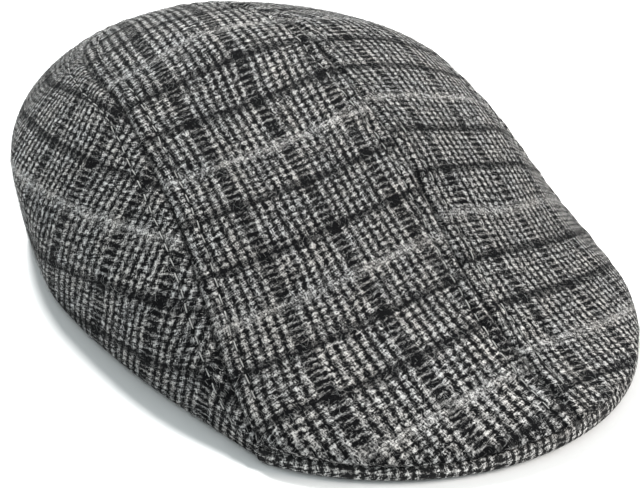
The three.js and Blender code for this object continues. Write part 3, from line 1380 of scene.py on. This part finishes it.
@dataclass
class SidePanel(Panel):
    """A side panel: from the side seam over the widest line, down to the rim and its turned-in hem.

    Args:
        hem: the thickness of the turned-in hem.
        hem_drops: drops between which the hem sets in.
        ledge: how far the hem reaches inward under the rim.
        ledge_steps: steps across the ledge.
        ledge_row: height of the cloth's rows on the ledge.
        back_rows: points from centre back to the widest place.
        front_rows: points from there to the corner of the peak.
        row_grading: how much closer together they are toward the back.
        upper: points from the seam down to the widest line.
        upper_grading: how much closer together they are toward the seam.
        lower: points below the widest line.
        seam_step: how far below the side seam the panel starts.
        inside: a point inside the cap, in its plan, that its cloth faces away from.
        upright: how much of that direction's height counts.
        back_seam: stations up to here look for the seam at centre back.
        back_run: where the back seam's run starts.
        back_ends: drops between which the back seam's relief fades.
        last_stitch: the station where the side seam's stitches end.
        last_drop: the drop where the back seam's stitches end.
    """

    hem: float = 4.0
    hem_drops: tuple[float, float] = (1.45, 1.75)
    ledge: float = 6.0
    ledge_steps: int = 6
    ledge_row: float = 2.3
    back_rows: int = 90
    front_rows: int = 81
    row_grading: float = 1.35
    upper: int = 42
    upper_grading: float = 1.15
    lower: int = 46
    seam_step: float = 0.05
    inside: tuple[float, float, float] = (0, 25.0, 10.0)
    upright: float = 0.6
    back_seam: float = -0.5
    back_run: float = -110
    back_ends: tuple[float, float] = (1.6, 1.9)
    last_stitch: float = 0.97
    last_drop: float = 1.95

    def stations(self) -> np.ndarray:
        """The stations of the panel's rows, closer together toward centre back.

        Returns:
            The stations from centre back to the corner of the peak.
        """
        back = -1 + np.linspace(0, 1, self.back_rows) ** self.row_grading
        return np.concatenate([back, np.linspace(0, 1, self.front_rows)[1:]])

    def drops(self, rows: np.ndarray) -> np.ndarray:
        """The drops of the panel's points, from the side seam to the rim.

        Args:
            rows: the stations of its rows, one in each row.

        Returns:
            A row of drops for each station.
        """
        start = self.form.seam_drop(rows, self.seam_step)
        shoulder = np.maximum(start, 1.0)
        upper = start + (shoulder - start) * np.linspace(0, 1, self.upper)[None, :] ** self.upper_grading
        lower = shoulder + (2 - shoulder) * np.linspace(0, 1, self.lower + 1)[None, 1:]
        return np.concatenate([upper, lower], 1)

    def outward(self, points: np.ndarray) -> np.ndarray:
        """Outward directions over the panel, which lie in the middle plane at centre back.

        Args:
            points: the panel's points in the cap's plan.

        Returns:
            Unit directions.
        """
        rough = points - np.array(self.inside)
        rough[..., 2] *= self.upright
        normals = grid_normals(points, unit(rough))
        normals[0, :, 0] = 0
        return unit(normals)

    def panel(self) -> ClothPanel:
        """Works out the panel's grid, relief, check and sewing.

        Returns:
            The panel, ready to be made.
        """
        form = self.form
        rows = self.stations()[:, None]
        drop = self.drops(rows)
        station = np.broadcast_to(rows, drop.shape)
        points = form.surface(station, drop)
        normals = self.outward(points)
        widest = self.upper - 1
        down = along(points, 1)
        around = along(points, 0)
        seam_run = np.broadcast_to(around[:, 0:1], down.shape)
        middle = np.maximum(points[..., 0], 0)
        back_run = self.back_run - down
        at_back = station < self.back_seam
        fade = smooth_step(-drop, -self.back_ends[1], -self.back_ends[0])
        lift = self.relief.lift(down, seam_run)
        lift = lift + np.where(at_back, self.relief.lift(middle, back_run), 0) * fade
        room = np.maximum(np.minimum(form.edge(station) / 2, self.hem), self.cloth)
        near = at_back & (middle < down)
        around_widest = np.broadcast_to(around[:, widest:self.upper], down.shape)
        return self.with_ledge(ClothPanel(
            name=f"cap_side_{self.side.word}",
            node=f"side_panel_{self.side.word}",
            side=self.side,
            outer=self.dressed(points, normals, lift),
            normals=normals,
            thickness=self.cloth + (room - self.cloth) * smooth_step(drop, *self.hem_drops),
            cloth=self.layout.side(self.side, around_widest, down[:, widest:self.upper] - down),
            sewing=np.stack([np.where(near, middle, down), np.where(near, back_run, seam_run), 0 * down], -1),
            seams=(
                (np.where(station < self.last_stitch, down, np.nan), False),
                (np.where(drop < self.last_drop, middle, np.nan), True),
            ),
        ))

    def with_ledge(self, panel: ClothPanel) -> ClothPanel:
        """Turns the rim under: adds the hem's flat ledge to the panel's grid.

        Args:
            panel: the panel down to its rim.

        Returns:
            The panel with its ledge.
        """
        _, over, ahead, _ = self.form.line(self.stations())
        inward = np.stack([-over, -ahead, np.zeros_like(over)], -1)[:, None, :]
        count = self.ledge_steps
        steps = np.linspace(0, 1, count + 1)[None, 1:, None]
        extra = panel.outer[:, -1:] + inward * steps * self.ledge
        panel.outer = np.concatenate([panel.outer, extra], 1)
        held = ((0, 0), (0, count))
        panel.seams = tuple((np.pad(grid, held, constant_values=np.nan), flag) for grid, flag in panel.seams)
        for key in ("normals", "thickness", "cloth", "sewing"):
            grid = getattr(panel, key)
            setattr(panel, key, np.concatenate([grid, np.repeat(grid[:, -1:], count, 1)], 1))
        panel.cloth[:, -count:, 1] -= steps[..., 0] * self.ledge / self.ledge_row
        return panel


@dataclass
class Peak:
    """The peak: a board wrapped in cloth, whose rolled edge shows below the top panels.

    Args:
        form: the cap's form.
        half_points: points along half its outline, from a corner to the tip.
        lower: how far its edge lies below the top panels' edge.
        roll_depth: how far inward the rolled edge reaches.
        roll_end: how far round the roll goes, in degrees above level.
        roll_points: points round the roll.
        lip_height: height of the cloth just inside the roll.
        lip_inward: how far inward that is.
        board: the board's thickness.
        board_start: how far inward its flat top starts.
        farthest: the largest share of the way inward that roll, lip and start may take.
        top_shares: shares of the way inward of the points on the board's top.
        under_shares: shares of the way inward of the points under it.
        end_width: how much narrower the back edge is than the corners, on each side.
        bow: how far the back edge bows forward.
        column: width of a column of the cloth along the edge.
        first_row: the row of the cloth that lies at the edge's foot.
        seed: what sets its wool apart.
        no_seam: a distance from the nearest seam that no seam's painted shade reaches.
    """

    form: CapForm
    half_points: int = 111
    lower: float = 0.72
    roll_depth: float = 3.2
    roll_end: float = 60
    roll_points: int = 22
    lip_height: float = 4.5
    lip_inward: float = 3.8
    board: float = 3.4
    board_start: float = 7.5
    farthest: float = 0.9
    top_shares: tuple[float, ...] = (0.4, 0.7, 1.0)
    under_shares: tuple[float, ...] = (1.0, 0.8, 0.6, 0.4, 0.2)
    end_width: float = 8
    bow: float = 4
    column: float = 2.7
    first_row: float = 9.5
    seed: float = 31
    no_seam: float = 50

    def outline(self) -> tuple[np.ndarray, np.ndarray, np.ndarray]:
        """The peak's outline, once round from corner to corner.

        Returns:
            Each point's station, its side, and its place in the cap's plan.
        """
        form = self.form
        half = np.linspace(1, 2, self.half_points)
        stations = np.concatenate([half, half[-2::-1]])
        sides = np.concatenate([-np.ones(len(half)), np.ones(len(half) - 1)])
        _, over, ahead, reach = form.line(stations)
        return stations, sides, np.stack([over * reach, ahead * reach + form.corner_forward + form.seam_gap], -1)

    def section(self, stations: np.ndarray, width: np.ndarray) -> tuple[np.ndarray, np.ndarray]:
        """The peak's section, from the foot of its edge over the roll and the board and back underneath.

        Args:
            stations: the outline's stations.
            width: the peak's width inward from each point of the outline.

        Returns:
            How far inward each point is, as a share of the width, and its height.
        """
        top = self.form.edge(stations) - self.lower
        angles = np.radians(np.linspace(-90, self.roll_end, self.roll_points))
        high = np.where(angles > 0, math.sin(math.radians(self.roll_end)), 1.0)
        ones = np.ones_like(width)
        edge = []
        for a, h in zip(angles, high):
            edge.append((self.roll_depth * (1 - math.cos(a)) / width, top * (1 + math.sin(a) / h) / 2))
        edge.append((self.lip_inward / width, self.lip_height * ones))
        edge.append((self.board_start / width, self.board * ones))
        flat = [(share * ones, self.board * ones) for share in self.top_shares]
        flat += [(share * ones, 0 * ones) for share in self.under_shares]
        shares = [np.minimum(share, self.farthest) for share, _ in edge] + [share for share, _ in flat]
        return np.stack(shares, 1), np.stack([height for _, height in edge + flat], 1)

    def build(self, finish: bpy.types.Material) -> bpy.types.Object:
        """Makes the peak and stands it for its solid.

        Args:
            finish: the cloth's material.

        Returns:
            The peak.
        """
        form = self.form
        stations, sides, outline = self.outline()
        share = outline[:, 0] / form.corner_half_width
        back = np.stack([
            share * (form.corner_half_width - self.end_width),
            form.corner_forward + form.seam_gap + self.bow * (1 - share**2),
        ], -1)
        shares, heights = self.section(stations, np.linalg.norm(outline - back, axis=-1))
        plan = outline[:, None] + (back - outline)[:, None] * shares[..., None]
        points = np.stack([sides[:, None] * plan[..., 0], form.middle_forward - plan[..., 1], heights], -1)
        rings, size = heights.shape
        first, last = list(range(size)), list(range((rings - 1) * size, rings * size))[::-1]
        faces = [*sleeve_faces(rings, size)[:, [0, 3, 2, 1]].tolist(), first, last]
        piece = make_piece("cap_peak", points.reshape(-1, 3), faces, finish, Slot.PEAK)
        nothing = 0 * heights
        around = along(points, 0)[:, 0:1] + nothing
        row = along(points, 1) / WEAVE.row + self.first_row
        keep_vectors(piece, "cloth", np.stack([around / self.column, row, nothing + self.seed], -1))
        keep_vectors(piece, "sewing", np.stack([nothing + self.no_seam, around, nothing], -1))
        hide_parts("peak")
        return piece


@dataclass
class Topstitch:
    """A row of thread stitches sunk in the cloth a little way from a seam.

    Args:
        stitch: length of a stitch.
        radius: the thread's radius.
        sides: points round the thread.
        bends: points along a stitch.
        first: where on its line the first stitch starts.
        uneven: how far a stitch may lie ahead or behind its place.
        raised: how high it lies over the cloth.
        sunk: between which values that height differs.
        dive: how deep its ends go in.
        aside: how far it may lie to the side.
        skew: how far its ends may lie apart sideways.
    """

    stitch: float = 3.9
    radius: float = 0.21
    sides: int = 6
    bends: int = 7
    first: float = 1.0
    uneven: float = 0.25
    raised: float = 0.1
    sunk: tuple[float, float] = (-0.12, 0.16)
    dive: float = 0.65
    aside: float = 0.15
    skew: float = 0.5

    def thread(self, path: np.ndarray, normals: np.ndarray, start: float, random: np.random.Generator) -> np.ndarray:
        """One stitch, in rings of points along its thread.

        Args:
            path: the row's points in the frame, in millimetres.
            normals: outward directions along it.
            start: how far along the row the stitch starts.
            random: the row's own random numbers.

        Returns:
            The stitch's points.
        """
        run = along(path, 0)
        t = np.linspace(0, 1, self.bends)
        at = start + t * self.stitch + random.uniform(-self.uneven, self.uneven)
        middle = np.stack([np.interp(at, run, path[:, k]) for k in range(3)], -1)
        out = unit(np.stack([np.interp(at, run, normals[:, k]) for k in range(3)], -1))
        ahead = unit(np.gradient(middle, axis=0))
        sideways = np.cross(ahead, out)
        sunk = random.uniform(*self.sunk)
        middle = middle + out * (sunk + self.raised - self.dive * (2 * t - 1)[:, None] ** 4)
        aside = random.uniform(-self.aside, self.aside)
        middle = middle + sideways * (aside + (t - 0.5)[:, None] * random.uniform(-self.skew, self.skew))
        turn = (np.arange(self.sides) * 2 * math.pi / self.sides)[None, :, None]
        ring = middle[:, None] + self.radius * (out[:, None] * np.cos(turn) + sideways[:, None] * np.sin(turn))
        ring[..., 2] = np.maximum(ring[..., 2], LOWEST)
        return ring.reshape(-1, 3)

    def build(self, name: str, path: np.ndarray, normals: np.ndarray, finish: bpy.types.Material,
              seed: int) -> bpy.types.Object:
        """Makes one row of stitches.

        Args:
            name: the piece's name.
            path: the row's points in the frame, in millimetres.
            normals: outward directions along it.
            finish: the thread's material.
            seed: what the small differences between the stitches come from.

        Returns:
            The row.
        """
        random = np.random.default_rng(seed)
        starts = np.arange(self.first, along(path, 0)[-1] - self.stitch, STITCH_PITCH)
        points = [self.thread(path, normals, start, random) for start in starts]
        faces = []
        for number in range(len(starts)):
            first = number * self.bends * self.sides
            last = first + (self.bends - 1) * self.sides
            faces += sleeve_faces(self.bends, self.sides, first).tolist()
            faces += [list(range(first, first + self.sides))[::-1], list(range(last, last + self.sides))]
        return make_piece(name, np.concatenate(points), faces, finish, Slot.CHECK)


@dataclass
class Fuzz:
    """Loose wool fibres that stand a little off the cloth.

    Args:
        count: how many there are on a panel.
        length: the shortest and the longest.
        width: a fibre's width.
        lift: the least and the most that one rises, as a share of its length.
        curl: how far one bends sideways at most, as a share of its length.
        clear: how far off the cloth they all stay.
        arch: how much of a wave a fibre rises through.
        steps: the shares of its length where its points are.
        tapers: its width at each of them.
        shades: the two powers of the spread of shades from dark to light.
    """

    count: int = 9000
    length: tuple[float, float] = (0.8, 2.6)
    width: float = 0.045
    lift: tuple[float, float] = (0.02, 0.3)
    curl: float = 0.5
    clear: float = 0.05
    arch: float = 0.75
    steps: tuple[float, ...] = (0.0, 0.35, 0.7, 1.0)
    tapers: tuple[float, ...] = (1.0, 1.0, 1.0, 0.3)
    shades: tuple[float, float] = (1.3, 1.7)

    def strips(self, outer: np.ndarray, normals: np.ndarray, random: np.random.Generator) -> np.ndarray:
        """Scatters the fibres evenly over the cloth.

        Args:
            outer: the cloth's points in the frame, in millimetres.
            normals: outward directions there.
            random: the piece's own random numbers.

        Returns:
            The points of each fibre's narrow strip.
        """
        corner = outer[:-1, :-1]
        area = np.linalg.norm(np.cross(outer[1:, :-1] - corner, outer[:-1, 1:] - corner), axis=-1).ravel()
        cell = random.choice(len(area), self.count, p=area / area.sum())
        i, j = np.divmod(cell, outer.shape[1] - 1)
        s, t = random.random((2, self.count, 1))
        root = outer[i, j] * (1 - s) * (1 - t) + outer[i + 1, j] * s * (1 - t)
        root = root + outer[i, j + 1] * (1 - s) * t + outer[i + 1, j + 1] * s * t
        out = normals[i, j]
        flat = unit(np.cross(out, random.normal(size=(self.count, 3))))
        across = np.cross(out, flat)
        length = random.uniform(*self.length, (self.count, 1))
        lift = random.uniform(*self.lift, (self.count, 1))
        curl = random.uniform(-self.curl, self.curl, (self.count, 1))
        width = across * self.width / 2 + out * self.width / 2
        edges = []
        for step, taper in zip(self.steps, self.tapers):
            rise = self.clear + lift * length * math.sin(step * math.pi * self.arch)
            middle = root + flat * length * (step - 0.5) + out * rise + across * curl * length * step * step
            edges += [middle - width * taper, middle + width * taper]
        strips = np.stack(edges, 1)
        strips[..., 2] = np.maximum(strips[..., 2], LOWEST)
        return strips

    def build(self, name: str, outer: np.ndarray, normals: np.ndarray, finish: bpy.types.Material,
              seed: int) -> bpy.types.Object:
        """Makes the fibres over a grid of cloth.

        Args:
            name: the piece's name.
            outer: the cloth's points in the frame, in millimetres.
            normals: outward directions there.
            finish: the fibres' material.
            seed: what the scatter comes from.

        Returns:
            The fibres.
        """
        random = np.random.default_rng(seed)
        strips = self.strips(outer, normals, random)
        size = 2 * len(self.steps)
        first = np.arange(self.count)[:, None] * size
        quads = [np.array([a, a + 1, a + 3, a + 2]) for a in range(0, size - 2, 2)]
        faces = np.concatenate([first + quad for quad in quads]).tolist()
        piece = make_piece(name, strips.reshape(-1, 3), faces, finish, Slot.CHECK)
        shade = np.repeat(np.clip(random.beta(*self.shades, self.count), 0, 1), size)
        keep_vectors(piece, "shade", np.stack([shade, shade, shade], -1))
        return piece


@dataclass
class Cap:
    """The whole cap: four panels and the peak, with their stitches and fuzz.

    Args:
        form: the cap's form.
        layout: where the check lies.
        relief: how the cloth lies beside its seams.
        settling: how the cloth has settled.
        peak_lit_dark: colour of the peak cloth's dark threads, painted lighter than the top's to stand in for light.
        peak_lit_light: colour of its light threads, painted lighter in the same way.
        side_seed: how far apart the two sides' seeds are.
        stitch_seed: where the stitches' seeds start.
        fuzz_seed: where the fibres' seeds start.
    """

    form: CapForm
    layout: CheckLayout
    relief: SeamRelief
    settling: Settling
    peak_lit_dark: Colour = (0.014, 0.0142, 0.0147)
    peak_lit_light: Colour = (0.68, 0.68, 0.672)
    side_seed: int = 10
    stitch_seed: int = 50
    fuzz_seed: int = 100

    def build(self) -> None:
        """Makes and dresses every piece of the cap."""
        cloth = CheckedCloth("woolly_check").material()
        thread = ThreadFinish("light_thread").material()
        wool = FibreFinish("loose_wool").material()
        for side_number, side in enumerate(Side):
            for kind_number, kind in enumerate((TopPanel, SidePanel)):
                panel = kind(self.form, side, self.layout, self.relief, self.settling).panel()
                panel.build(self.form, cloth)
                self.dress(panel, thread, wool, self.side_seed * side_number + kind_number)
        # Painted light: the peak's check is a lighter copy of the same cloth, standing in for the light on its rolled
        # edge.
        peak_cloth = CheckedCloth("peak_check_lit", dark=self.peak_lit_dark, light=self.peak_lit_light)
        Peak(self.form).build(peak_cloth.material())

    def dress(self, panel: ClothPanel, thread: bpy.types.Material, wool: bpy.types.Material, seed: int) -> None:
        """Adds a panel's stitches and fuzz.

        Args:
            panel: the panel.
            thread: the thread's material.
            wool: the loose fibres' material.
            seed: what their differences come from.
        """
        to_frame = np.array([panel.side.value, -1, 1])
        for number, (path, normals) in enumerate(panel.stitch_lines(STITCH_FROM_SEAM)):
            placed = self.form.place(path, panel.side, PANEL_GAP)
            name = f"{panel.name}_topstitch_{number}"
            Topstitch().build(name, placed, normals * to_frame, thread, self.stitch_seed + seed + number)
        outer = self.form.place(panel.outer, panel.side, PANEL_GAP)
        Fuzz().build(f"{panel.name}_fuzz", outer, panel.normals * to_frame, wool, self.fuzz_seed + seed)


@dataclass(frozen=True)
class Lamp:
    """A square soft lamp aimed at the cap.

    Args:
        name: the lamp's name.
        place: where it stands, in metres.
        size: how wide it is, in metres.
        power: its power, in watts.
        colour: its colour.
        aim: the place that it shines on, in metres.
    """

    name: str
    place: tuple[float, float, float]
    size: float
    power: float
    colour: Colour
    aim: tuple[float, float, float] = (0, 0, 0.03)

    def build(self) -> None:
        """Makes the lamp."""
        data = bpy.data.lights.new(self.name, "AREA")
        data.size = self.size
        data.energy = self.power
        data.color = self.colour
        lamp = bpy.data.objects.new(self.name, data)
        bpy.context.scene.collection.objects.link(lamp)
        lamp.location = self.place
        lamp.rotation_euler = (Vector(self.aim) - Vector(self.place)).to_track_quat("-Z", "Y").to_euler()
        LOG.info("lamp %s: %.0f W", self.name, self.power)


@dataclass(frozen=True)
class Studio:
    """Pale floor, soft light and the camera at the photograph's viewing angle.

    Args:
        azimuth: how far round the camera stands, in degrees.
        elevation: how high it stands, in degrees.
        roll: how far it is turned about its own axis, in degrees.
        distance: how far it is from its target, in millimetres.
        target: the point that it looks at, in millimetres.
        lens_widths: the lens's length in widths of its sensor.
        sensor: the sensor's width, in millimetres.
        nearest: the nearest thing that the camera sees, in metres.
        floor_reach: how far the floor reaches to each side, in millimetres.
        sky: colour of the even light from all around.
        sky_strength: its strength.
        lamps: the soft lamps.
    """

    azimuth: float = -41.4
    elevation: float = 27.4
    roll: float = 5.2
    distance: float = 347
    target: tuple[float, float, float] = (-4.1, -15.2, 14.6)
    lens_widths: float = 1.48
    sensor: float = 36
    nearest: float = 0.01
    floor_reach: float = 4000.0
    sky: Colour = (0.92, 0.985, 0.99)
    sky_strength: float = 0.82
    lamps: tuple[Lamp, ...] = (
        Lamp("key", (0.06, 0.76, 1.25), 0.22, 36.0, (0.99, 0.985, 0.97)),
        Lamp("fill", (0.8, -0.7, 0.6), 0.5, 15.0, (1.0, 0.92, 0.87)),
    )

    def build(self) -> None:
        """Makes the floor, the lights and the camera."""
        self.floor()
        self.world()
        for lamp in self.lamps:
            lamp.build()
        self.camera()

    def floor(self) -> None:
        """Makes the floor."""
        reach = self.floor_reach
        corners = np.array([[-reach, -reach, 0], [reach, -reach, 0], [reach, reach, 0], [-reach, reach, 0]])
        piece = make_piece("floor", corners, [[0, 1, 2, 3]], FloorFinish("pale_floor").material(), None)

    def world(self) -> None:
        """Makes the even light from all around, and shows colours as they are."""
        world = bpy.data.worlds.new("studio")
        bpy.context.scene.world = world
        world.use_nodes = True
        background = world.node_tree.nodes["Background"]
        background.inputs["Color"].default_value = (*self.sky, 1)
        background.inputs["Strength"].default_value = self.sky_strength
        bpy.context.scene.view_settings.view_transform = "Standard"

    def camera(self) -> None:
        """Makes the camera, turned by its roll about its own axis."""
        a, e, r = (math.radians(value) for value in (self.azimuth, self.elevation, self.roll))
        back = Vector((math.sin(a) * math.cos(e), -math.cos(a) * math.cos(e), math.sin(e)))
        right = Vector((math.cos(a), math.sin(a), 0))
        up = back.cross(right)
        turned = math.cos(r) * right + math.sin(r) * up
        upright = math.cos(r) * up - math.sin(r) * right
        place = (Vector(self.target) + back * self.distance) * MM
        data = bpy.data.cameras.new("camera")
        data.sensor_fit = "HORIZONTAL"
        data.sensor_width = self.sensor
        data.lens = self.lens_widths * self.sensor
        data.clip_start = self.nearest
        camera = bpy.data.objects.new("camera", data)
        bpy.context.scene.collection.objects.link(camera)
        turn = Matrix((turned, upright, back)).transposed().to_4x4()
        camera.matrix_world = Matrix.Translation(place) @ turn
        bpy.context.scene.camera = camera


def main() -> None:
    """Builds the studio and the cap."""
    logging.basicConfig(level=logging.INFO, format="%(message)s")
    Studio().build()
    Cap(CapForm(), CheckLayout(), SeamRelief(), Settling()).build()


if __name__ == "__main__":
    main()
